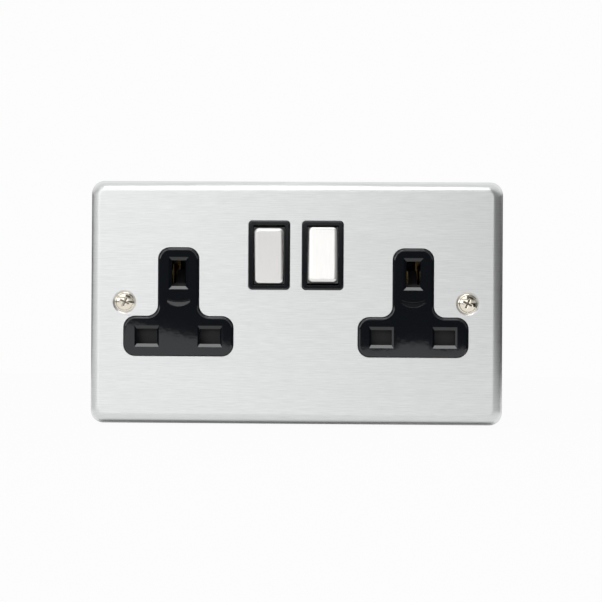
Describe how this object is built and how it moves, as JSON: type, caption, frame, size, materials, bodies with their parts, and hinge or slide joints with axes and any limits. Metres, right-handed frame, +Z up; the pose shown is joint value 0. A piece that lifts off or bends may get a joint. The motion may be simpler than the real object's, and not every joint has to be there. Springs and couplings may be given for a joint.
{
  "type": "twin switched socket outlet",
  "caption": "Flush twin switched socket outlet with a brushed steel plate, black T-shaped faces, metal rockers, sliding shutters and rear terminals.",
  "frame": {"origin": "centre of the plate on the wall's surface", "axes": "+X to the right seen from the front, +Y into the wall, +Z up"},
  "size_m": [0.146, 0.0336, 0.086],
  "materials": {
    "brushed_steel": "fine horizontal brushing",
    "satin_metal": "satin",
    "black_moulding": "semi-gloss moulded",
    "housing_moulding": "matt moulded",
    "shutter_moulding": "matt moulded",
    "brass": "rolled",
    "silver": "riveted tip",
    "spring_steel": "drawn wire",
    "plated_screw": "zinc plated",
    "nickel_screw": "bright nickel"
  },
  "bodies": {
    "outlet": {"front_plate": "brushed_steel", "front_moulding": "black_moulding", "rear_housing": "housing_moulding", "fixed_tips": "silver", "live_contact_left": "brass", "live_contact_right": "brass", "live_feed_bar": "brass", "neutral_bar": "brass", "earth_bar": "brass", "plate_earth_strap": "brass", "live_terminal": "brass", "neutral_terminal": "brass", "earth_terminal_left": "brass", "earth_terminal_right": "brass", "terminal_screws": "plated_screw", "fixing_screws": "nickel_screw", "module_screws": "plated_screw", "plate_studs": "plated_screw", "plate_nuts": "plated_screw", "shutter_spring_left": "spring_steel", "shutter_spring_right": "spring_steel"},
    "rocker_left": {"rocker_cap_left": "satin_metal", "rocker_body_left": "black_moulding", "plunger_spring_left": "spring_steel"},
    "plunger_left": {"plunger_left": "shutter_moulding"},
    "blade_left": {"moving_contact_left": "brass", "moving_tip_left": "silver"},
    "shutter_left": {"shutter_left": "shutter_moulding"},
    "rocker_right": {"rocker_cap_right": "satin_metal", "rocker_body_right": "black_moulding", "plunger_spring_right": "spring_steel"},
    "plunger_right": {"plunger_right": "shutter_moulding"},
    "blade_right": {"moving_contact_right": "brass", "moving_tip_right": "silver"},
    "shutter_right": {"shutter_right": "shutter_moulding"}
  },
  "joints": [
    {"name": "rocker_left_tilt", "type": "hinge", "parent": "outlet", "child": "rocker_left", "pos_m": [-0.0094, -0.0045, 0.0167], "axis": [1, 0, 0], "range_deg": [-12, 0]},
    {"name": "blade_left_tilt", "type": "hinge", "parent": "outlet", "child": "blade_left", "pos_m": [-0.0094, 0.009, 0.0167], "axis": [1, 0, 0], "range_deg": [0, 20]},
    {"name": "plunger_left_slide", "type": "slide", "parent": "rocker_left", "child": "plunger_left", "axis": [0, -0.9945, -0.1045], "range_m": [0, 0.001], "stiffness_N_per_m": 800, "springref_m": -0.001, "deforming": ["plunger_spring_left"]},
    {"name": "shutter_left_slide", "type": "slide", "parent": "outlet", "child": "shutter_left", "axis": [0, 0, -1], "range_m": [0, 0.006], "stiffness_N_per_m": 150, "springref_m": -0.003, "deforming": ["shutter_spring_left"]},
    {"name": "rocker_right_tilt", "type": "hinge", "parent": "outlet", "child": "rocker_right", "pos_m": [0.0094, -0.0045, 0.0167], "axis": [1, 0, 0], "range_deg": [0, 12]},
    {"name": "blade_right_tilt", "type": "hinge", "parent": "outlet", "child": "blade_right", "pos_m": [0.0094, 0.009, 0.0167], "axis": [1, 0, 0], "range_deg": [-20, 0]},
    {"name": "plunger_right_slide", "type": "slide", "parent": "rocker_right", "child": "plunger_right", "axis": [0, -0.9945, 0.1045], "range_m": [0, 0.001], "stiffness_N_per_m": 800, "springref_m": -0.001, "deforming": ["plunger_spring_right"]},
    {"name": "shutter_right_slide", "type": "slide", "parent": "outlet", "child": "shutter_right", "axis": [0, 0, -1], "range_m": [0, 0.006], "stiffness_N_per_m": 150, "springref_m": -0.003, "deforming": ["shutter_spring_right"]}
  ],
  "couplings": [
    {"joint": "blade_left_tilt", "follows": "rocker_left_tilt", "ratio": -1.6667},
    {"joint": "blade_right_tilt", "follows": "rocker_right_tilt", "ratio": -1.6667}
  ]
}
